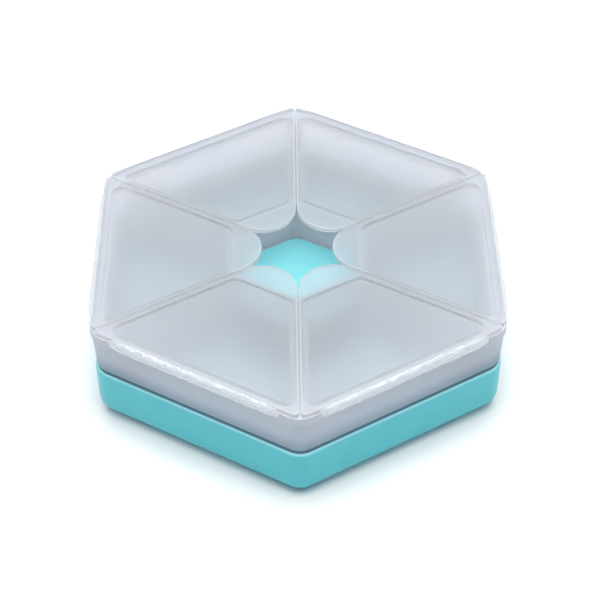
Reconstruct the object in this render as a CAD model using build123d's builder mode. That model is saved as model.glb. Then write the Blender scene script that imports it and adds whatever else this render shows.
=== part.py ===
"""Divided food container: a hexagonal base, a lift-out tray of six compartments, six lids on living hinges.

Millimetres, +Z up. The origin is at the middle of the underside. Corners of the hexagon point along +Y and
-Y, and the right-hand side faces +X. "Apothem" is the distance from the middle to a flat side.
"""
from build123d import *
from math import cos, radians, sin, tan
import os

os.makedirs("parts", exist_ok=True)

# Sizes that drive everything else
body_apothem = 88.0  # outer face of the base's rim and of the tray's wall
overall_height = 52.0  # table to the top of the closed lids
base_height = 28.0
corner_radius = 9.7  # the hexagon's upright corners, and the rounding round its bottom
lid_thickness = 2.2
mould_draft = 0.9  # degrees, on the walls of the base and of the tray

# Teal base
base_wall = 1.85
base_floor = 2.6
base_rim_bevel = 0.4
foot_width = 5.0
foot_step = 0.8
boss_apothem = 25.8  # at the top
boss_corner = 8.0
boss_height = 31.6
boss_wall = 2.0
boss_bevel = 1.0

# Frosted tray
rim_band_step = 0.6  # the band stands this proud of the wall
rim_band_height = 4.2
nest_clearance = 0.25  # between the tray's lower part and the base
tray_underside = 3.6
tray_floor = 2.0
divider_thickness = 2.0  # at the rim
divider_draft = 0.5
pocket_outer = 85.2  # inner face of the outer wall, at the rim
pocket_outer_draft = 2.2
pocket_radius = 5.0  # upright corners, and the rounding round the floor
well_apothem = 26.8
well_corner = 4.0
well_wall = 1.4

# Lids
seam = 0.6  # gap between two lids
tab_centre = 31.0
lid_tip_radius = 2.0
lid_edge_bevel = 0.4
plug_gap = 0.45
plug_wall = 1.8
plug_depth = 3.0

# Living hinges
hinge_bulge = 90.0  # apothem of the strap's outermost line
hinge_length = 82.0
hinge_strap = 0.8
hinge_low = 46.8  # lower end of the strap on the rim band
hinge_high = 51.4  # upper end on the lid's edge

# Worked out from the sizes above
tiny = 0.01  # less than any size here, used to sort faces and edges
half_sector = radians(30)
rim_height = overall_height - lid_thickness
band_apothem = body_apothem + rim_band_step
band_bottom = rim_height - rim_band_height
pocket_inner = well_apothem + well_wall
pocket_floor = tray_underside + tray_floor
tab_radius = tab_centre * sin(half_sector) - seam / 2
hinge_middle = (hinge_low + hinge_high) / 2

sides = {"right": 0, "back_right": 60, "back_left": 120, "left": 180, "front_left": 240, "front_right": 300}


def hexagon(apothem, corner):
    """Draw a hexagon with its corners on the Y axis. A corner radius of 0 leaves them sharp."""
    RegularPolygon(apothem, 6, major_radius=False, rotation=30)
    if corner:
        fillet(vertices(), corner)


def sector(inner, outer, side_gap):
    """Draw one sixth of the hexagon, between two apothems, held back from the two seams."""
    half_outer = outer * tan(half_sector) - side_gap / cos(half_sector)
    half_inner = inner * tan(half_sector) - side_gap / cos(half_sector)
    corners = [(outer, -half_outer), (outer, half_outer), (inner, half_inner), (inner, -half_inner)]
    Polygon(*corners, align=None)


def upright(shape):
    """Pick a shape's faces that stand upright, flat or curved."""
    return shape.faces().filter_by(lambda face: abs(face.normal_at().Z) < tiny)


def drafted_hexagon(apothem, bottom, top, angle):
    """Make a sharp hexagonal block of a size given at its top. A positive angle narrows it downwards."""
    with BuildPart() as block:
        with BuildSketch(Plane.XY.offset(bottom)):
            hexagon(apothem, 0)
        extrude(amount=top - bottom)
        draft(upright(block.part), Plane.XY.offset(top), -angle)
    return block.part


def edges_below(height):
    """Pick the edges whose middle is below a height: the upright ones, and those round the bottom."""
    return edges().filter_by(lambda edge: edge.center().Z < height - tiny)


def upright_edges():
    """Pick the edges that don't lie level."""
    return edges().filter_by(lambda edge: edge.bounding_box().size.Z > tiny)


# Base: a drafted shell with a large rounding below, a hollow boss in the middle and a ring to stand on
with BuildPart() as base_cavity:
    add(drafted_hexagon(body_apothem - base_wall, base_floor, base_height, mould_draft))
    fillet(edges_below(base_height), corner_radius - base_wall)

with BuildPart() as boss:
    add(drafted_hexagon(boss_apothem, 0, boss_height, -mould_draft))
    fillet(upright_edges(), boss_corner)
    chamfer(faces().sort_by(Axis.Z)[-1].edges(), boss_bevel)

with BuildPart() as boss_hollow:
    add(drafted_hexagon(boss_apothem - boss_wall, 0, boss_height - boss_wall, -mould_draft))
    fillet(upright_edges(), boss_corner - boss_wall)

with BuildPart() as base_tray:
    add(drafted_hexagon(body_apothem, 0, base_height, mould_draft))
    fillet(edges_below(base_height), corner_radius)
    add(base_cavity.part, mode=Mode.SUBTRACT)
    chamfer(faces().sort_by(Axis.Z)[-1].edges(), base_rim_bevel)
    add(boss.part)
    add(boss_hollow.part, mode=Mode.SUBTRACT)
    with BuildSketch(Plane.XY):
        hexagon(body_apothem - corner_radius - foot_width, 0)
    extrude(amount=foot_step, mode=Mode.SUBTRACT)

base_tray.part.label = "base_tray"
export_step(base_tray.part, "parts/base_tray.step")

# Space of one compartment, in the sector that faces +X: drawn sharp at the rim, then drafted and rounded
with BuildPart() as compartment:
    with BuildSketch(Plane.XY.offset(pocket_floor)):
        sector(pocket_inner, pocket_outer, divider_thickness / 2)
    extrude(amount=rim_height - pocket_floor)
    draft(upright(compartment.part).sort_by(Axis.X)[:-1], Plane.XY.offset(rim_height), -divider_draft)
    draft(faces().sort_by(Axis.X)[-1:], Plane.XY.offset(rim_height), -pocket_outer_draft)
    fillet(edges_below(rim_height), pocket_radius)

# Lower part of the tray, which nests in the base
with BuildPart() as nested_part:
    nest_step = base_wall + nest_clearance
    add(drafted_hexagon(body_apothem - nest_step, tray_underside, base_height, mould_draft))
    fillet(edges_below(base_height), corner_radius - nest_step)

# Tray: its shoulder at the base's height sits on the base's rim, and the well goes right through
with BuildPart() as divided_tray:
    with BuildSketch(Plane.XY.offset(band_bottom)):
        hexagon(band_apothem, corner_radius + rim_band_step)
    extrude(amount=rim_band_height)
    chamfer(faces().sort_by(Axis.Z)[0].edges(), rim_band_step)
    with BuildSketch(Plane.XY.offset(base_height)):
        hexagon(body_apothem, corner_radius)
    extrude(amount=band_bottom - base_height)
    add(nested_part.part)
    with PolarLocations(0, 6):
        add(compartment.part, mode=Mode.SUBTRACT)
    with BuildSketch(Plane.XY.offset(tray_underside)):
        hexagon(well_apothem, well_corner)
    extrude(amount=rim_height - tray_underside, mode=Mode.SUBTRACT)

divided_tray.part.label = "divided_tray"
export_step(divided_tray.part, "parts/divided_tray.step")

# Lid, closed, in the sector that faces +X: a flat panel with a round tab, and a plug skirt under it
with BuildPart() as plug_skirt:
    with BuildSketch(Plane.XY.offset(rim_height)):
        sector(pocket_inner + plug_gap, pocket_outer - plug_gap, divider_thickness / 2 + plug_gap)
        fillet(vertices(), pocket_radius - plug_gap)
    extrude(amount=-plug_depth)
    with BuildSketch(Plane.XY.offset(rim_height)):
        plug_inset = plug_gap + plug_wall
        sector(pocket_inner + plug_inset, pocket_outer - plug_inset, divider_thickness / 2 + plug_inset)
        fillet(vertices(), pocket_radius - plug_inset)
    extrude(amount=-plug_depth, mode=Mode.SUBTRACT)

with BuildPart() as closed_lid:
    tip_half = body_apothem * tan(half_sector) - seam / 2 / cos(half_sector)
    tangent_x = tab_centre - tab_radius * sin(half_sector)
    tangent_y = tab_radius * cos(half_sector)
    with BuildSketch(Plane.XY.offset(rim_height)):
        with BuildLine():
            Line((tangent_x, tangent_y), (body_apothem, tip_half))
            Line((body_apothem, tip_half), (body_apothem, -tip_half))
            Line((body_apothem, -tip_half), (tangent_x, -tangent_y))
            ThreePointArc((tangent_x, -tangent_y), (tab_centre - tab_radius, 0), (tangent_x, tangent_y))
        make_face()
        fillet(vertices().sort_by(Axis.X)[-2:], lid_tip_radius)
    extrude(amount=lid_thickness)
    chamfer(faces().sort_by(Axis.Z)[-1].edges(), lid_edge_bevel)
    add(plug_skirt.part)

# Living hinge of that lid: a thin strap bent round from the lid's edge to the rim band
with BuildPart() as bent_strap:
    with BuildSketch(Plane.XZ.offset(-hinge_length / 2)):
        with BuildLine():
            ThreePointArc((body_apothem, hinge_high), (hinge_bulge, hinge_middle), (band_apothem, hinge_low))
            Line((band_apothem, hinge_low), (band_apothem, hinge_low + hinge_strap))
            ThreePointArc(
                (band_apothem, hinge_low + hinge_strap),
                (hinge_bulge - hinge_strap, hinge_middle),
                (body_apothem, hinge_high - hinge_strap),
            )
            Line((body_apothem, hinge_high - hinge_strap), (body_apothem, hinge_high))
        make_face()
    extrude(amount=hinge_length)

for side, angle in sides.items():
    with BuildPart() as lid:
        add(closed_lid.part, rotation=(0, 0, angle))
    lid.part.label = "lid_" + side
    export_step(lid.part, "parts/lid_" + side + ".step")

    with BuildPart() as hinge_web:
        add(bent_strap.part, rotation=(0, 0, angle))
    hinge_web.part.label = "hinge_web_" + side
    export_step(hinge_web.part, "parts/hinge_web_" + side + ".step")
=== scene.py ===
# %% [markdown]
# # A divided food container
# A teal hexagonal base holds a frosted tray with six compartments round an open well. Each compartment has
# its own frosted lid, which hinges on a thin strap at the outer side and is lifted by a round tab over the
# well. The base, the tray and the lids are mouldings, so every shape here is an outline that is carried
# along a path, as a mould maker would cut it.

# %% Load the fixed frame
from math import cos, pi, radians, sin, tan

import bmesh
import bpy
from mathutils import Matrix, Vector
from mathutils.geometry import tessellate_polygon


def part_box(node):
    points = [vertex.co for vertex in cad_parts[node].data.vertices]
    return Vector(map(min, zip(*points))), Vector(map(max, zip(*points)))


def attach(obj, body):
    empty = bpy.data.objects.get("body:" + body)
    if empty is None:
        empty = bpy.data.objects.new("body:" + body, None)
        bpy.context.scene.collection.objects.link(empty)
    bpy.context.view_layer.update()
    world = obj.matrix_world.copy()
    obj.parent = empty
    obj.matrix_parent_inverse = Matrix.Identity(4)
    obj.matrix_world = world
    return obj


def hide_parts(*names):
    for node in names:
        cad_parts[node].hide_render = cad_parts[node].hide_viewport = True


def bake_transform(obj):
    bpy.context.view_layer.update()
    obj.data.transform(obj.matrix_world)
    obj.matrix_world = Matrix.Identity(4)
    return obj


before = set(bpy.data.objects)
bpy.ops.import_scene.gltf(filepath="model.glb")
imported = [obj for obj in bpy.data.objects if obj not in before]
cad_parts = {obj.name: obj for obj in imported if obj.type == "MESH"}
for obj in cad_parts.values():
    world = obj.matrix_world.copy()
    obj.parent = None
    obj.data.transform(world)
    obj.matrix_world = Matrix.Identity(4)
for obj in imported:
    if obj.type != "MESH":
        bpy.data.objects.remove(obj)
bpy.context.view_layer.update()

# %% [markdown]
# ## Sizes
# The solids in the frame give the outer sizes. The rest are a mould maker's sizes in millimetres, because
# wall thicknesses and roundings are easier to judge in millimetres. One height differs from its solid on
# purpose: the base's rim is drawn 1.4 mm lower, where the photograph shows the line between teal and
# frosted plastic. "Apothem" is the distance from the middle of the hexagon to one of its flat sides. An
# "inset" is how far an outline is drawn in from where it starts.

# %% Driving dimensions
MM = 0.001  # one millimetre in metres

body_apothem = 88.0
rim_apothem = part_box("divided_tray")[1].x / MM
boss_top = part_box("base_tray")[1].z / MM
tray_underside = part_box("divided_tray")[0].z / MM
rim_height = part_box("divided_tray")[1].z / MM
lid_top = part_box("lid_right")[1].z / MM
skirt_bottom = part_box("lid_right")[0].z / MM

base_height = 26.6  # table to the base's rim
mould_draft = tan(radians(0.9))
corner_radius = 9.7
side_names = ("right", "back_right", "back_left", "left", "front_left", "front_right")
side_angles = {name: 60 * number for number, name in enumerate(side_names)}
print("rim apothem %.2f, rim height %.2f, lid top %.2f mm" % (rim_apothem, rim_height, lid_top))

# %% [markdown]
# ## Outlines and paths
# Every moulding here has an outline with straight sides and round corners. A side is stored as the
# direction that it looks in and its distance from the middle, so drawing the outline smaller only takes the
# inset from each distance and each corner radius. A path says how the inset changes with the height. Its
# corners are rounded with real arcs, so the edges catch the light as moulded edges do. A bevel modifier
# would be quicker to add, but it has to guess how wide each rounding may be.

# %% Helpers for outlines and paths
corner_steps = 10
edge_steps = 4


def outline(sides, radii, inset=0.0):
    """Give the points round a convex outline, drawn in by the inset."""
    points = []
    for number, (angle, distance) in enumerate(sides):
        next_angle, next_distance = sides[(number + 1) % len(sides)]
        turn = radians((next_angle - angle) % 360)
        start = radians(angle)
        radius = radii[number] - inset
        along_normal = distance - radii[number]
        along_side = (next_distance - radii[number] - along_normal * cos(turn)) / sin(turn)
        centre_x = along_normal * cos(start) - along_side * sin(start)
        centre_y = along_normal * sin(start) + along_side * cos(start)
        for step in range(corner_steps + 1):
            direction = start + turn * step / corner_steps
            points.append((centre_x + radius * cos(direction), centre_y + radius * sin(direction)))
    return points


def rounded_path(corners, steps=edge_steps):
    """Round the corners of a path. Each corner is (inset, height, radius)."""
    path = []
    for number, (inset, height, radius) in enumerate(corners):
        here = Vector((inset, height))
        if radius == 0:
            path.append((here.x, here.y))
            continue
        back = (Vector(corners[number - 1][:2]) - here).normalized()
        ahead = (Vector(corners[number + 1][:2]) - here).normalized()
        half_angle = back.angle(ahead) / 2
        centre = here + (back + ahead).normalized() * radius / sin(half_angle)
        first = here + back * radius / tan(half_angle) - centre
        last = here + ahead * radius / tan(half_angle) - centre
        sweep = first.angle(last)
        for step in range(steps + 1):
            share = step / steps
            arm = (first * sin((1 - share) * sweep) + last * sin(share * sweep)) / sin(sweep)
            path.append((centre.x + arm.x, centre.y + arm.y))
    return path


def hexagon(apothem, radius):
    """A hexagon's sides and corner radii, with corners on the Y axis."""
    return [(angle, apothem) for angle in range(0, 360, 60)], [radius] * 6


def turned(shape, angle):
    """The same outline, turned about the middle."""
    sides, radii = shape
    return [(direction + angle, distance) for direction, distance in sides], radii


# %% [markdown]
# ## Skins
# Points at one height make a ring, and faces between two rings make a strip of wall. A closed skin of such
# strips and flat plates is the same solid shell as the real moulding. It could also be cut out with
# Booleans, but those leave slivers at the roundings that show in the highlights. A finished skin is shaded
# smooth, and weighted normals keep its flat faces flat.

# %% Helpers that make the skin
def add_ring(skin, points, height):
    """Add one closed ring of points at a height, in metres."""
    return [skin.verts.new((x * MM, y * MM, height * MM)) for x, y in points]


def join_rings(skin, first, second, plastic=0):
    """Close the strip between two rings of equal length."""
    count = len(first)
    for number in range(count):
        following = (number + 1) % count
        face = skin.faces.new((first[number], first[following], second[following], second[number]))
        face.material_index = plastic


def add_wall(skin, shape, path, plastic=0):
    """Carry an outline along a path and return all its rings."""
    rings = [add_ring(skin, outline(*shape, inset), height) for inset, height in path]
    for first, second in zip(rings, rings[1:]):
        join_rings(skin, first, second, plastic)
    return rings


def add_plate(skin, outer, holes, plastic=0):
    """Fill a flat face that has holes in it, and return its triangles."""
    loops = [outer] + holes
    corners = [vert for loop in loops for vert in loop]
    triangles = []
    for triangle in tessellate_polygon([[vert.co for vert in loop] for loop in loops]):
        face = skin.faces.new([corners[number] for number in triangle])
        face.material_index = plastic
        triangles.append(face)
    return triangles


# %% Helpers that finish a piece
def add_object(name, data):
    """Put a mesh, a lamp or a camera in the scene."""
    thing = bpy.data.objects.new(name, data)
    bpy.context.collection.objects.link(thing)
    return thing


def shade_smooth(mesh, sharpest):
    """Shade a mesh smooth, apart from edges that turn by more than an angle in degrees."""
    mesh.polygons.foreach_set("use_smooth", [True] * len(mesh.polygons))
    mesh.set_sharp_from_angle(angle=radians(sharpest))


def finish_piece(skin, name, materials, body, node):
    """Turn the skin into a smooth-shaded piece that rides on a body and stands for a CAD node."""
    bmesh.ops.recalc_face_normals(skin, faces=skin.faces)
    mesh = bpy.data.meshes.new(name)
    skin.to_mesh(mesh)
    skin.free()
    for material in materials:
        mesh.materials.append(material)
    shade_smooth(mesh, sharpest=40)
    piece = add_object(name, mesh)
    flat_faces = piece.modifiers.new("Keep flat faces flat", "WEIGHTED_NORMAL")
    flat_faces.keep_sharp = True
    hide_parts(node)
    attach(piece, body)
    print(name, len(mesh.polygons), "faces")


# %% [markdown]
# ## The plastics
# The base is an opaque teal plastic with a satin skin. The tray and the lids are natural polypropylene,
# which is milky: it lets light through but blurs what is behind it. Real milkiness is scattering inside the
# wall. A volume shader can do that, but it is slow and noisy in thin walls. So each frosted plastic mixes
# rough transmission, which gives the blur, with a diffuse colour and a translucent glow, which give the
# milk. Slow waves and a fine spark texture in the skin, as every moulding has, keep the surfaces from
# looking like glass.

# %% Helpers for nodes
def add_node(tree, kind, inputs, **options):
    """Add a node, set its options, then give each input a value, a link, or a list of links."""
    node = tree.nodes.new(kind)
    for option, value in options.items():
        setattr(node, option, value)
    for name, value in inputs.items():
        for source in value if isinstance(value, list) else [value]:
            if isinstance(source, bpy.types.NodeSocket):
                tree.links.new(source, node.inputs[name])
            else:
                node.inputs[name].default_value = source
    return node


def new_material(name):
    """Make a node material and return it with its tree and its Principled shader."""
    material = bpy.data.materials.new(name)
    material.use_nodes = True
    return material, material.node_tree, material.node_tree.nodes["Principled BSDF"]


def add_noise(tree, size, detail=2.0):
    """Add a noise whose grains are about the given size in millimetres."""
    place = add_node(tree, "ShaderNodeTexCoord", {})
    grains = {"Vector": place.outputs["Object"], "Scale": 1 / (size * MM), "Detail": detail}
    return add_node(tree, "ShaderNodeTexNoise", grains).outputs["Fac"]


# %% Helpers that vary a colour, a sheen or a skin
sheen_range = {"From Min": 0.3, "From Max": 0.7}  # a noise seldom leaves this range
colour_stops = (0.35, 0.65)


def vary(tree, driver, socket, low, high):
    """Let a noise move a value between two limits."""
    limits = {**sheen_range, "To Min": low, "To Max": high}
    spread = add_node(tree, "ShaderNodeMapRange", {"Value": driver, **limits})
    tree.links.new(spread.outputs["Result"], socket)


def vary_colour(tree, driver, socket, dark, light):
    """Let a noise mix two close colours."""
    ramp = add_node(tree, "ShaderNodeValToRGB", {"Fac": driver})
    for number, (stop, colour) in enumerate(zip(colour_stops, (dark, light))):
        ramp.color_ramp.elements[number].position = stop
        ramp.color_ramp.elements[number].color = (*colour, 1)
    tree.links.new(ramp.outputs["Color"], socket)


def add_bumps(tree, shader, layers):
    """Stack bumps. Each layer is (noise, depth in millimetres)."""
    below = {}
    for driver, depth in layers:
        bump = add_node(tree, "ShaderNodeBump", {"Distance": depth * MM, "Height": driver, **below})
        below = {"Normal": bump.outputs["Normal"]}
    tree.links.new(below["Normal"], shader.inputs["Normal"])


# %% Helpers for light that passes, and for a painted tone that fades with height
def tint_shadows(tree, look, tint, *kinds):
    """Let the named kinds of ray through with a tint, because the plastic dims light but doesn't stop it."""
    light_path = add_node(tree, "ShaderNodeLightPath", {})
    passing = add_node(tree, "ShaderNodeBsdfTransparent", {"Color": (*tint, 1)})
    for kind in kinds:
        choice = {"Fac": light_path.outputs[kind], 1: look.outputs[0], 2: passing.outputs["BSDF"]}
        look = add_node(tree, "ShaderNodeMixShader", choice)
    tree.links.new(look.outputs[0], tree.nodes["Material Output"].inputs["Surface"])


def fade_by_height(tree, socket, tone, full, none):
    """Paint a colour towards a tone near a height, for painted light and shade. The tone is full at one
    height and gone at another, in mm.
    """
    place = add_node(tree, "ShaderNodeTexCoord", {})
    parts = add_node(tree, "ShaderNodeSeparateXYZ", {"Vector": place.outputs["Object"]})
    heights = {"Value": parts.outputs["Z"], "From Min": full * MM, "From Max": none * MM}
    share = add_node(tree, "ShaderNodeMapRange", heights, interpolation_type="SMOOTHSTEP")
    colour = socket.links[0].from_socket if socket.links else tuple(socket.default_value)
    blend = {"Factor": share.outputs["Result"], "A": (*tone, 1), "B": colour}
    mixed = add_node(tree, "ShaderNodeMix", blend, data_type="RGBA")
    tree.links.new(mixed.outputs["Result"], socket)


# %% [markdown]
# ### Teal
# The base's rim catches light from the milky wall above it, so its last millimetre is painted a paler teal,
# as a painted highlight. The boss in the middle is the same plastic. Its colour is painted a little greyer
# here, as painted shade, because in the photograph it lies deep in the well and gets its light from the
# frosted walls round it.

# %% Teal plastic
def teal_plastic(name, dark, light, gloss, rim=None):
    """Satin teal, which varies a little in colour and sheen. A rim is a painted highlight, with its two
    heights.
    """
    material, tree, shader = new_material(name)
    shader.inputs["IOR"].default_value = 1.49
    shader.inputs["Specular IOR Level"].default_value = gloss
    vary_colour(tree, add_noise(tree, 12), shader.inputs["Base Color"], dark, light)
    vary(tree, add_noise(tree, 3, detail=4), shader.inputs["Roughness"], low=0.34, high=0.42)
    add_bumps(tree, shader, [(add_noise(tree, 6), 0.010), (add_noise(tree, 0.25, detail=3), 0.004)])
    tint_shadows(tree, shader, (0.03, 0.27, 0.36), "Is Shadow Ray")
    if rim:
        fade_by_height(tree, shader.inputs["Base Color"], *rim)
    return material


# Painted highlight: the rim's top is painted a paler teal, full at the rim and gone 0.9 mm below it.
painted_rim_highlight = ((0.24, 0.55, 0.61), base_height, base_height - 0.9)
teal = teal_plastic(
    "satin teal plastic", (0.068, 0.490, 0.556), (0.075, 0.510, 0.576), gloss=0.40, rim=painted_rim_highlight
)
# Painted shade: the boss's teal is painted a little greyer than the base's, for the light deep in the well.
shaded_boss_teal = teal_plastic("teal boss plastic", (0.115, 0.462, 0.505), (0.125, 0.480, 0.523), gloss=0.80)
print("teal:", teal.name, "and", shaded_boss_teal.name)

# %% [markdown]
# ### Frosted
# One recipe makes all frosted plastics. "Clear" is the share that shows what is behind, and "milk" is the
# share that only glows with the light behind it. A wide flat lid is clearer than its thick edges. The
# tray's wall is painted darker towards its foot, as painted shade where the teal base stands close behind
# it.

# %% Frosted plastic
skin_colours = ((0.91, 0.91, 0.945), (0.93, 0.93, 0.96))
milk_colour = (0.89, 0.89, 0.93)
passing_tint = (0.80, 0.815, 0.835)  # of light that has passed one wall
roughness_swing = 0.03
spark_size, spark_depth = 0.8, 0.0006  # mm


def frosted_plastic(
    name, clear, milk, roughness=0.34, wave_depth=0.010, tint=(1, 1, 1), foot=None, index=1.3, wave_size=9
):
    """Milky polypropylene: a rough see-through skin, mixed with a share that only glows."""
    material, tree, shader = new_material(name)
    shader.inputs["IOR"].default_value = index
    shader.inputs["Transmission Weight"].default_value = clear
    dark, light, glowing = (
        [value * share for value, share in zip(colour, tint)] for colour in (*skin_colours, milk_colour)
    )
    vary_colour(tree, add_noise(tree, 15), shader.inputs["Base Color"], dark, light)
    sheen = shader.inputs["Roughness"]
    vary(tree, add_noise(tree, 4, detail=4), sheen, roughness - roughness_swing, roughness + roughness_swing)
    waves, sparks = add_noise(tree, wave_size), add_noise(tree, spark_size, detail=3)
    add_bumps(tree, shader, [(waves, wave_depth), (sparks, spark_depth)])

    glow = add_node(tree, "ShaderNodeBsdfTranslucent", {"Color": (*glowing, 1)})
    shares = {"Fac": milk, 1: shader.outputs["BSDF"], 2: glow.outputs["BSDF"]}
    milky = add_node(tree, "ShaderNodeMixShader", shares)
    # A foot is painted shade: the colour darkens to a tone towards the bottom of the piece.
    if foot:
        for socket in (shader.inputs["Base Color"], glow.inputs["Color"]):
            fade_by_height(tree, socket, *foot)
    tint_shadows(tree, milky, passing_tint, "Is Shadow Ray", "Is Diffuse Ray")
    return material


# %% The lids' and the tray's plastics
lid_plastic = frosted_plastic("frosted lid plastic", clear=0.86, milk=0.17, roughness=0.40)
edge_plastic = frosted_plastic("frosted lid edges", clear=0.42, milk=0.45, tint=(0.97, 0.985, 1.0))
skirt_plastic = frosted_plastic("frosted plug skirt", clear=0.45, milk=0.40)
print("lids:", [plastic.name for plastic in (lid_plastic, edge_plastic, skirt_plastic)])

tray_waves = 0.012  # mm, the tray is the larger moulding and a little less even
# Painted shade at the wall's foot: a darker tone, full 0.5 mm above the base's rim and gone 12 mm above it.
painted_wall_foot_shade = ((0.38, 0.52, 0.62), base_height + 0.5, base_height + 12)
tray_plastic = frosted_plastic("frosted tray plastic", clear=0.60, milk=0.35, wave_depth=tray_waves)
band_plastic = frosted_plastic(
    "frosted rim band", clear=0.50, milk=0.35, wave_depth=tray_waves, tint=(0.93, 0.93, 0.99)
)
wall_plastic = frosted_plastic(
    "frosted tray wall", clear=0.60, milk=0.35, wave_depth=tray_waves, tint=(0.86, 0.90, 0.97),
    foot=painted_wall_foot_shade,
)
# Painted shade: the groove's plastic is tinted dark teal, for the dark line between tray and base.
painted_shade_groove_plastic = frosted_plastic(
    "shaded groove", clear=0.40, milk=0.35, wave_depth=tray_waves, tint=(0.11, 0.24, 0.29)
)
print("tray:", [plastic.name for plastic in (tray_plastic, band_plastic, wall_plastic, painted_shade_groove_plastic)])

# %% [markdown]
# ### Polished
# A living hinge is flexed while it is new, which draws the plastic out thin and smooth. It glints where a
# lamp meets its small waves. A clear coat that follows the same waves gives those glints without making the
# plastic under it glassy.

# %% Hinge plastic
strap_plastic = frosted_plastic(
    "polished hinge plastic", clear=0.15, milk=0.20, roughness=0.20, wave_depth=0.92,
    tint=(0.76, 0.82, 0.865), index=1.45, wave_size=3.2,
)
strap_nodes = strap_plastic.node_tree
polish = strap_nodes.nodes["Principled BSDF"].inputs
for name, value in {"Coat Weight": 1.0, "Coat IOR": 1.9, "Coat Roughness": 0.16}.items():
    polish[name].default_value = value
strap_nodes.links.new(polish["Normal"].links[0].from_socket, polish["Coat Normal"])
print("hinge plastic:", strap_plastic.name)

# %% [markdown]
# ## The teal base
# On the real base one wall runs from the rim, round a large bottom rounding, to the ring it stands on.
# Inside, it comes back over the floor and up a hexagonal boss, which fills the tray's well from below. The
# underside is hollow under the boss. Two paths on the big outline and two on the boss make the whole closed
# skin, so wall, floor and boss keep the thickness that the mould gives them.

# %% Base: sizes
base_wall = 1.85
base_floor = 2.6
rim_round, inner_rim_round = 1.0, 0.6
foot_width, foot_step = 5.0, 0.8  # the ring it stands on, and how far the middle is raised above the table
foot_corner, foot_lean = 0.6, 0.1
boss_apothem, boss_corner, boss_wall = 25.8, 8.0, 2.0
boss_foot_round, boss_top_round, boss_margin = 1.5, 1.2, 3
hollow_foot_round, hollow_foot_margin = 0.4, 1
hollow_top_round, hollow_top_margin = 0.8, 2  # a margin is how far a path runs on over the face it ends in
arc_gap = 0.02  # an arc stays this much smaller than the corner that it turns in
innermost = corner_radius - arc_gap  # the inset at which the hexagon's corners are all but sharp

base_taper = base_height * mould_draft
boss_taper = boss_top * mould_draft
foot_apothem = body_apothem - corner_radius - foot_width
shell = hexagon(body_apothem, corner_radius)
boss = hexagon(boss_apothem, boss_corner)
print("standing ring: %.1f to %.1f mm from the middle" % (foot_apothem, body_apothem - corner_radius))

# %% Base: paths
outside = rounded_path(
    [
        (rim_round, base_height, 0),
        (0, base_height, rim_round),
        (base_taper, 0, corner_radius - base_taper - arc_gap),
        (innermost, 0, 0),
    ],
    steps=12,
)
inside = rounded_path(
    [
        (rim_round, base_height, 0),
        (base_wall, base_height, inner_rim_round),
        (base_wall + base_taper, base_floor, corner_radius - base_wall - base_taper - arc_gap),
        (innermost, base_floor, 0),
    ],
    steps=12,
)
boss_outside = rounded_path(
    [
        (-boss_taper - boss_margin, base_floor, 0),
        (-boss_taper + base_floor * mould_draft, base_floor, boss_foot_round),
        (0, boss_top, boss_top_round),
        (boss_margin, boss_top, 0),
    ],
    steps=8,
)
boss_inside = rounded_path(
    [
        (boss_wall - boss_taper - hollow_foot_margin, foot_step, 0),
        (boss_wall - boss_taper, foot_step, hollow_foot_round),
        (boss_wall, boss_top - boss_wall, hollow_top_round),
        (boss_wall + hollow_top_margin, boss_top - boss_wall, 0),
    ]
)
print("base paths:", len(outside), len(inside), len(boss_outside), len(boss_inside), "rings")

# %% Base: skin
skin = bmesh.new()
outer_rings = add_wall(skin, shell, outside)
inner_rings = [outer_rings[0]] + add_wall(skin, shell, inside[1:])
join_rings(skin, inner_rings[0], inner_rings[1])

foot = add_wall(skin, hexagon(foot_apothem, foot_corner), [(0, 0), (foot_lean, foot_step)])
join_rings(skin, outer_rings[-1], foot[0])

boss_rings = add_wall(skin, boss, boss_outside, plastic=1)
hollow_rings = add_wall(skin, boss, boss_inside)
join_rings(skin, inner_rings[-1], boss_rings[0])
join_rings(skin, foot[-1], hollow_rings[0])
skin.faces.new(boss_rings[-1]).material_index = 1
skin.faces.new(hollow_rings[-1])
finish_piece(skin, "teal_base", [teal, shaded_boss_teal], "base", "base_tray")

# %% [markdown]
# ## The frosted tray
# The tray nests in the base and rests on its rim, and its own rim carries a slightly prouder band. A fine
# groove runs round the foot of its wall. It shades itself a little, and its plastic is painted dark as
# painted shade, which gives the dark line over the teal. The six compartments are the same wedge, turned
# six times, with drafted walls and a rounding round the floor that a spoon can follow. The top face is one
# flat plate with seven holes: six compartment mouths and the well. Modelling one sixth and mirroring it
# would be less work, but would leave seams across that plate.

# %% Tray: sizes
rim_band = 4.2
band_round, band_foot_round = 0.3, 0.4
plate_inset = 0.4  # of the flat top from the band's face
nest_clearance = 0.25  # between the nested part and the base
wall_foot, wall_foot_round = 0.75, 0.25  # inset of the wall just above its groove
groove_inset, groove_top, groove_slope, groove_round = 1.15, 2.2, 0.3, 0.15
rest_gap = 0.1  # above the base's rim, so that the two skins never share a face
tray_floor = 2.0
well_apothem, well_corner, well_wall = 26.8, 4.0, 1.4
well_margin = 0.1

band_step = rim_apothem - body_apothem
nest_step = base_wall + nest_clearance
nest_bottom = nest_step + (base_height - tray_underside) * mould_draft
print("nested part tapers to an inset of %.2f mm" % nest_bottom)

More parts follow.
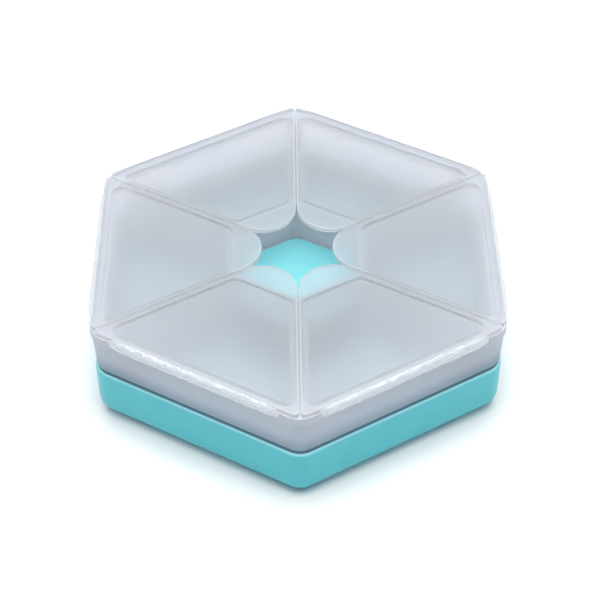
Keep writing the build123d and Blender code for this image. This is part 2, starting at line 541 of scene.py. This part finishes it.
# %% Tray: the path of its outside
tray_outside = rounded_path(
    [
        (plate_inset - band_step, rim_height, 0),
        (-band_step, rim_height, band_round),
        (-band_step, rim_height - rim_band, band_round),
        (arc_gap, rim_height - rim_band - band_step, band_foot_round),
        (wall_foot, base_height + groove_top + groove_slope, wall_foot_round),
        (groove_inset, base_height + groove_top, groove_round),
        (groove_inset, base_height + rest_gap, groove_round),
        (nest_step, base_height + rest_gap, groove_round),
        (nest_bottom, tray_underside, corner_radius - nest_bottom - arc_gap),
        (innermost, tray_underside, 0),
    ],
    steps=8,
)
print("tray outside:", len(tray_outside), "rings")

# %% Tray: one compartment
pocket_outer = 85.2
pocket_side = 1.0  # half of the divider between two compartments
pocket_inner = well_apothem + well_wall
pocket_floor = tray_underside + tray_floor
pocket_depth = rim_height - pocket_floor
pocket_radius, pocket_mouth_round = 5.0, 0.3
sharpest_corner = 0.05
outer_slope = tan(radians(2.2))
side_slope = tan(radians(0.5))
floor_steps = 8
floor_sweep = 0.98  # of a right angle, which leaves the floor its own flat face


def pocket_outline(depth, inset):
    """One compartment's outline at a depth below the rim."""
    sides = [
        (0, pocket_outer - depth * outer_slope - inset),
        (120, -pocket_side - depth * side_slope - inset),
        (180, -pocket_inner - depth * side_slope - inset),
        (240, -pocket_side - depth * side_slope - inset),
    ]
    return sides, [max(pocket_radius - inset, sharpest_corner)] * 4


pocket_path = []
for step in range(edge_steps + 1):
    turn = pi / 2 * step / edge_steps
    pocket_path.append((-pocket_mouth_round * (1 - sin(turn)), pocket_mouth_round * (1 - cos(turn))))
for step in range(floor_steps + 1):
    turn = pi / 2 * floor_sweep * step / floor_steps
    pocket_path.append((pocket_radius * (1 - cos(turn)), pocket_depth - pocket_radius * (1 - sin(turn))))
print("compartments are %.1f mm deep" % pocket_depth)

# %% Tray: outside and well
tray_plastics = [tray_plastic, edge_plastic, wall_plastic, band_plastic, painted_shade_groove_plastic]
top, wall, band, groove = 1, 2, 3, 4  # places in that list
zone_slack = 0.1  # lets the rounding under the band keep the band's plastic
zones = [
    (band, rim_height - rim_band - zone_slack),
    (wall, base_height + groove_top + wall_foot_round),
    # The groove's faces get the plastic that is painted dark as painted shade.
    (groove, base_height),
]

skin = bmesh.new()
tray_rings = add_wall(skin, shell, tray_outside)
for face in skin.faces:
    height = face.calc_center_median().z / MM
    face.material_index = next((plastic for plastic, lowest in zones if height > lowest), 0)

well_path = rounded_path(
    [
        (-pocket_mouth_round, rim_height, 0),
        (0, rim_height, pocket_mouth_round),
        (0, tray_underside, pocket_mouth_round),
        (-pocket_mouth_round - well_margin, tray_underside, 0),
    ]
)
well_rings = add_wall(skin, hexagon(well_apothem, well_corner), well_path)

# %% Tray: compartments and top
mouths = []
for angle in side_angles.values():
    rings = [
        add_ring(skin, outline(*turned(pocket_outline(depth, inset), angle)), rim_height - depth)
        for inset, depth in pocket_path
    ]
    for first, second in zip(rings, rings[1:]):
        join_rings(skin, first, second)
    skin.faces.new(rings[-1])
    mouths.append(rings[0])
add_plate(skin, tray_rings[0], mouths + [well_rings[0]], plastic=top)
join_rings(skin, tray_rings[-1], well_rings[-1])
finish_piece(skin, "frosted_tray", tray_plastics, "tray", "divided_tray")

# %% [markdown]
# ## The lids
# A lid is a flat panel whose outline is a triangle with round corners. The corner over the well has a
# radius of 15 mm, which makes the finger tab, and the outer two have 2 mm. Under the panel a skirt plugs
# the compartment's mouth, and it shows through the frosted panel as the border of a window. The panel's
# underside rests on the tray's rim and looks milkier there, but the tab hangs free over the well and stays
# clear. So the underside is cut at the tab's root, and its two halves get different plastics. One lid could
# be copied and turned, but each has its own joint and name, so each is made where it belongs.

# %% Lids: sizes and outlines
seam_half = 0.22
tab_radius, tip_radius = 15.2, 2.0
plug_gap, plug_wall = 0.45, 1.8
skirt_lean = 0.1
lid_edge_round, lid_foot_round = 0.5, 0.2
root_round, skirt_tip_round, skirt_inner_round = 0.4, 0.5, 0.4
lid_margin, lid_foot_margin = 0.1, 0.3  # how far a path runs on over the flat face that it ends in
tab_root = pocket_inner - 1.2  # where the tab leaves the tray's rim and hangs over the well

panel = ([(0, body_apothem), (120, -seam_half), (240, -seam_half)], [tip_radius, tab_radius, tip_radius])
skirt = (
    [
        (0, pocket_outer - plug_gap),
        (120, -pocket_side - plug_gap),
        (180, -pocket_inner - plug_gap),
        (240, -pocket_side - plug_gap),
    ],
    [pocket_radius - plug_gap] * 4,
)
print("lid %.1f mm thick, skirt %.1f mm deep" % (lid_top - rim_height, rim_height - skirt_bottom))

# %% Lids: paths
panel_path = rounded_path(
    [
        (lid_edge_round + lid_margin, lid_top, 0),
        (0, lid_top, lid_edge_round),
        (0, rim_height, lid_foot_round),
        (lid_foot_margin, rim_height, 0),
    ],
    steps=6,
)
skirt_path = rounded_path(
    [
        (-root_round - lid_margin, rim_height, 0),
        (0, rim_height, root_round),
        (skirt_lean, skirt_bottom, skirt_tip_round),
        (plug_wall, skirt_bottom, skirt_inner_round),
        (plug_wall, rim_height, root_round),
        (plug_wall + root_round + lid_margin, rim_height, 0),
    ]
)
print("lid paths:", len(panel_path), len(skirt_path), "rings")

# %% Lids: skins
lid_plastics = [lid_plastic, edge_plastic, skirt_plastic]
see_through, resting, edging = 0, 1, 2  # places in that list
level = 0.9  # the squared height of a level face's normal is more than this


def lid_skin(angle):
    """Make one closed lid, turned to its side of the hexagon."""
    skin = bmesh.new()
    panel_rings = add_wall(skin, turned(panel, angle), panel_path, plastic=edging)
    skirt_rings = add_wall(skin, turned(skirt, angle), skirt_path, plastic=edging)
    skin.faces.new(panel_rings[0])
    underside = add_plate(skin, panel_rings[-1], [skirt_rings[0]], plastic=resting)

    outward = Vector((cos(radians(angle)), sin(radians(angle)), 0))
    cut = dict.fromkeys(part for face in underside for part in (face, *face.edges, *face.verts))
    bmesh.ops.bisect_plane(skin, geom=list(cut), plane_co=outward * tab_root * MM, plane_no=outward)
    for face in skin.faces:
        on_tab = face.calc_center_median().dot(outward) < tab_root * MM
        if face.material_index == resting and on_tab and face.normal.z ** 2 > level:
            face.material_index = see_through
    skin.faces.new(skirt_rings[-1])
    return skin


for side, angle in side_angles.items():
    finish_piece(lid_skin(angle), "frosted_lid_" + side, lid_plastics, "lid_" + side, "lid_" + side)

# %% [markdown]
# ## The living hinges
# Each lid hangs on a thin strap that is moulded with it and bent round to the rim band. A bevelled curve
# would make a strap of one section, but this one flattens softly at both ends. So the bend is a curve in
# one plane, which a Geometry Nodes tree draws out along a line, flattens towards the ends, thickens, stands
# up and turns to its side. All six come from that tree, with the real sizes as its inputs.

# %% Strap: the bent sheet
bend_steps = 24
length_points = 65


def add_math(tree, operation, *values):
    """Add a sum of sockets or numbers and return its result."""
    return add_node(tree, "ShaderNodeMath", dict(enumerate(values)), operation=operation).outputs["Value"]


def bent_sheet(tree, given):
    """Draw the strap's bend and carry it along a straight line, in the plane of X and Y."""
    bend = {"Start": given["Lid end"], "Start Handle": given["Lid handle"], "Resolution": bend_steps}
    bend.update({"End Handle": given["Rim handle"], "End": given["Rim end"]})
    curve = add_node(tree, "GeometryNodeCurvePrimitiveBezierSegment", bend)
    half_length = given["Half length"]
    first = add_node(tree, "ShaderNodeCombineXYZ", {"Y": add_math(tree, "MULTIPLY", half_length, -1.0)})
    last = add_node(tree, "ShaderNodeCombineXYZ", {"Y": half_length})
    ends = {"Start": first.outputs["Vector"], "End": last.outputs["Vector"]}
    line = add_node(tree, "GeometryNodeCurvePrimitiveLine", ends).outputs["Curve"]
    steps = add_node(tree, "GeometryNodeResampleCurve", {"Curve": line, "Count": length_points})
    curves = {"Curve": curve.outputs["Curve"], "Profile Curve": steps.outputs["Curve"]}
    return add_node(tree, "GeometryNodeCurveToMesh", curves).outputs["Mesh"]


# %% Strap: its ends and its thickness
weld_distance = 0.00001  # metres


def flatten_ends(tree, given, sheet):
    """Pull the sheet's two ends in to one apothem, so that the strap runs out softly."""
    place = add_node(tree, "GeometryNodeInputPosition", {}).outputs["Position"]
    parts = add_node(tree, "ShaderNodeSeparateXYZ", {"Vector": place}).outputs
    ends = {
        "Value": add_math(tree, "ABSOLUTE", parts["Z"]),
        "From Min": add_math(tree, "SUBTRACT", given["Half length"], given["Flattened length"]),
        "From Max": given["Half length"],
    }
    near_end = add_node(tree, "ShaderNodeMapRange", ends, interpolation_type="SMOOTHSTEP").outputs["Result"]
    inward = add_math(tree, "SUBTRACT", given["Flattened apothem"], parts["X"])
    shift = add_node(tree, "ShaderNodeCombineXYZ", {"X": add_math(tree, "MULTIPLY", inward, near_end)})
    moved = {"Geometry": sheet, "Offset": shift.outputs["Vector"]}
    return add_node(tree, "GeometryNodeSetPosition", moved).outputs["Geometry"]


def thicken(tree, sheet, thickness):
    """Give the sheet its other side, and weld the two round the edges."""
    raised = {"Mesh": sheet, "Individual": False, "Offset Scale": thickness}
    front = add_node(tree, "GeometryNodeExtrudeMesh", raised).outputs["Mesh"]
    back = add_node(tree, "GeometryNodeFlipFaces", {"Mesh": sheet}).outputs["Mesh"]
    both = add_node(tree, "GeometryNodeJoinGeometry", {"Geometry": [front, back]}).outputs["Geometry"]
    weld = {"Geometry": both, "Distance": weld_distance}
    return add_node(tree, "GeometryNodeMergeByDistance", weld).outputs["Geometry"]


# %% Strap: the whole tree
def strap_tree():
    """A bent, softly ending strap on one side of the hexagon. Its sizes are inputs, in metres."""
    tree = bpy.data.node_groups.new("Living hinge strap", "GeometryNodeTree")
    points = ["Lid end", "Lid handle", "Rim handle", "Rim end"]
    sizes = ["Half length", "Flattened length", "Flattened apothem", "Thickness", "Side angle"]
    for kind, names in {"Vector": points, "Float": sizes, "Material": ["Plastic"]}.items():
        for name in names:
            tree.interface.new_socket(name, in_out="INPUT", socket_type="NodeSocket" + kind)
    tree.interface.new_socket("Strap", in_out="OUTPUT", socket_type="NodeSocketGeometry")

    given = tree.nodes.new("NodeGroupInput").outputs
    strap = thicken(tree, flatten_ends(tree, given, bent_sheet(tree, given)), given["Thickness"])
    side_turn = add_node(tree, "ShaderNodeCombineXYZ", {"Z": given["Side angle"]})
    for kind, inputs in (
        ("GeometryNodeTransform", {"Rotation": (pi / 2, 0, 0)}),
        ("GeometryNodeTransform", {"Rotation": side_turn.outputs["Vector"]}),
        ("GeometryNodeRealizeInstances", {}),
        ("GeometryNodeSetMaterial", {"Material": given["Plastic"]}),
    ):
        strap = add_node(tree, kind, {"Geometry": strap, **inputs}).outputs["Geometry"]
    add_node(tree, "NodeGroupOutput", {"Strap": strap})
    return tree


tree = strap_tree()
socket = {item.name: item.identifier for item in tree.interface.items_tree if item.in_out == "INPUT"}
print("strap tree:", len(tree.nodes), "nodes,", len(socket), "inputs")

# %% Straps: sizes
strap_length = 98.0
strap_bend = {  # apothem and height of the curve's two ends and two handles
    "Lid end": (87.5, 51.85),
    "Lid handle": (89.3, 51.4),
    "Rim handle": (91.6, 48.0),
    "Rim end": (88.1, 46.1),
}
strap_sizes = {name: (apothem * MM, height * MM, 0.0) for name, (apothem, height) in strap_bend.items()}
strap_sizes["Half length"] = strap_length / 2 * MM
strap_sizes["Flattened length"] = 14.0 * MM
strap_sizes["Flattened apothem"] = (body_apothem - 1.2) * MM
strap_sizes["Thickness"] = 0.6 * MM
strap_sizes["Plastic"] = strap_plastic
print("strap: %.0f mm long, bend from %.1f to %.1f mm up" % (
    strap_length, strap_bend["Rim end"][1], strap_bend["Lid end"][1]
))

# %% Straps
for side, angle in side_angles.items():
    maker = add_object("strap_maker", bpy.data.meshes.new("strap_maker"))
    modifier = maker.modifiers.new("Strap", "NODES")
    modifier.node_group = tree
    for name, value in strap_sizes.items():
        modifier[socket[name]] = value
    modifier[socket["Side angle"]] = radians(angle)
    made = maker.evaluated_get(bpy.context.evaluated_depsgraph_get())
    mesh = bpy.data.meshes.new_from_object(made)
    mesh.name = "hinge_strap_" + side
    strap = add_object("hinge_strap_" + side, mesh)
    bpy.data.objects.remove(maker)
    shade_smooth(mesh, sharpest=50)
    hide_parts("hinge_web_" + side)
    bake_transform(strap)
print("straps:", len(mesh.polygons), "faces each")

# %% [markdown]
# ## The floor
# The container stands on a matt white floor, as in a catalogue picture. A Light Path node makes the floor a
# little darker for the camera than for the light that it throws back up. So the container gets the light of
# a white studio, and the soft contact shadow still shows. A shadow catcher would need compositing.

# %% Floor
floor_reach = 0.8
thrown_tone = (0.80, 0.80, 0.80, 1)
seen_tone = (0.75, 0.75, 0.75, 1)

floor_material, tree, shader = new_material("studio floor")
shader.inputs["Roughness"].default_value = 0.9
shader.inputs["Specular IOR Level"].default_value = 0.0
seen_by = add_node(tree, "ShaderNodeLightPath", {})
tones = {"Factor": seen_by.outputs["Is Camera Ray"], "A": thrown_tone, "B": seen_tone}
tone = add_node(tree, "ShaderNodeMix", tones, data_type="RGBA")
tree.links.new(tone.outputs["Result"], shader.inputs["Base Color"])

floor_mesh = bpy.data.meshes.new("floor")
signs = ((-1, -1), (1, -1), (1, 1), (-1, 1))
floor_mesh.from_pydata([(x * floor_reach, y * floor_reach, 0) for x, y in signs], [], [(0, 1, 2, 3)])
floor_mesh.materials.append(floor_material)
floor = add_object("floor", floor_mesh)
print("floor: %.1f m wide" % (2 * floor_reach))

# %% [markdown]
# ## The light
# The light comes from above, as from a large tent. The world is a dome that is bright overhead and dim
# towards the horizon, which models the sides softly and keeps them from going flat. A camera ray, a
# reflection or a ray through a clear wall meets one even brightness instead, so the background is white and
# no dark horizon shows in the plastic. One wide softbox adds the main light, one behind lifts the back
# edges, and two small lamps make the glints on the front straps. A picture of a real studio could light the
# scene too, but it would be one more file, and harder to tune.

# %% World
# From: how steeply a direction points up, where 1 is straight up. To: how bright the dome is there.
dome_range = {"From Min": 0.5, "From Max": 0.95, "To Min": 0.12, "To Max": 1.15}
ray_strengths = {"Is Camera Ray": 1.0, "Is Glossy Ray": 0.9, "Is Transmission Ray": 0.6}

world = bpy.data.worlds.new("studio")
bpy.context.scene.world = world
world.use_nodes = True
tree = world.node_tree
direction = add_node(tree, "ShaderNodeTexCoord", {})
parts = add_node(tree, "ShaderNodeSeparateXYZ", {"Vector": direction.outputs["Generated"]})
dome = {"Value": parts.outputs["Z"], **dome_range}
strength = add_node(tree, "ShaderNodeMapRange", dome, interpolation_type="SMOOTHSTEP").outputs["Result"]
seen_by = add_node(tree, "ShaderNodeLightPath", {})
for kind, white in ray_strengths.items():
    choice = {"Factor": seen_by.outputs[kind], "A": strength, "B": white}
    strength = add_node(tree, "ShaderNodeMix", choice).outputs["Result"]
sky = tree.nodes["Background"]
sky.inputs["Color"].default_value = (1, 1, 1, 1)
tree.links.new(strength, sky.inputs["Strength"])
print("world:", len(tree.nodes), "nodes")

# %% Lamps
lamp_aim = Vector((0, 0, 0.03))


def add_softbox(name, place, size, power):
    """Hang a square soft light and point it at the container."""
    lamp = bpy.data.lights.new(name, "AREA")
    lamp.shape = "SQUARE"
    lamp.size = size
    lamp.energy = power
    holder = add_object(name, lamp)
    holder.location = place
    holder.rotation_euler = (Vector(place) - lamp_aim).to_track_quat("Z", "Y").to_euler()
    print(name, "%.2f m wide, %.1f W" % (size, power))


add_softbox("softbox_above", (0, 0, 1.9), size=1.7, power=44)
add_softbox("softbox_behind", (0, 1.7, 1.6), size=1.6, power=10)
add_softbox("glint_left", (-0.70, -0.38, 0.92), size=0.05, power=0.9)
add_softbox("glint_right", (0.70, -0.38, 0.92), size=0.05, power=0.9)

# %% [markdown]
# ## The camera
# The camera's place and lens come from fitting the hexagon's outlines to the photograph. A long lens from
# about 0.8 m away keeps the far sides almost as large as the near ones. A fitted camera lets every edge be
# compared with the photograph pixel by pixel, which a camera set by eye doesn't.

# %% Camera
camera_azimuth = radians(-0.773)
camera_elevation = radians(44.276)
camera_roll = radians(-0.061)
camera_distance = 791.8  # mm from the middle of the picture's plane
aim_right, aim_up, aim_height = 2.32, 3.17, 13.0  # mm, where the lens looks beside and above the origin
focal_length, sensor_width = 102.8, 36.0  # mm

ground_share = cos(camera_elevation)
back = Vector(
    (sin(camera_azimuth) * ground_share, -cos(camera_azimuth) * ground_share, sin(camera_elevation))
)
level_right = Vector((cos(camera_azimuth), sin(camera_azimuth), 0))
level_up = back.cross(level_right)
right = level_right * cos(camera_roll) + level_up * sin(camera_roll)
up = level_up * cos(camera_roll) - level_right * sin(camera_roll)
place = (back * camera_distance + right * aim_right + up * aim_up + Vector((0, 0, aim_height))) * MM

lens = bpy.data.cameras.new("camera")
lens.lens = focal_length
lens.sensor_width = sensor_width
lens.clip_start = 0.01
camera = add_object("camera", lens)
camera.matrix_world = Matrix.Translation(place) @ Matrix((right, up, back)).transposed().to_4x4()
bpy.context.scene.camera = camera
bpy.context.scene.view_settings.view_transform = "Standard"
print("camera at", [round(value, 3) for value in place])
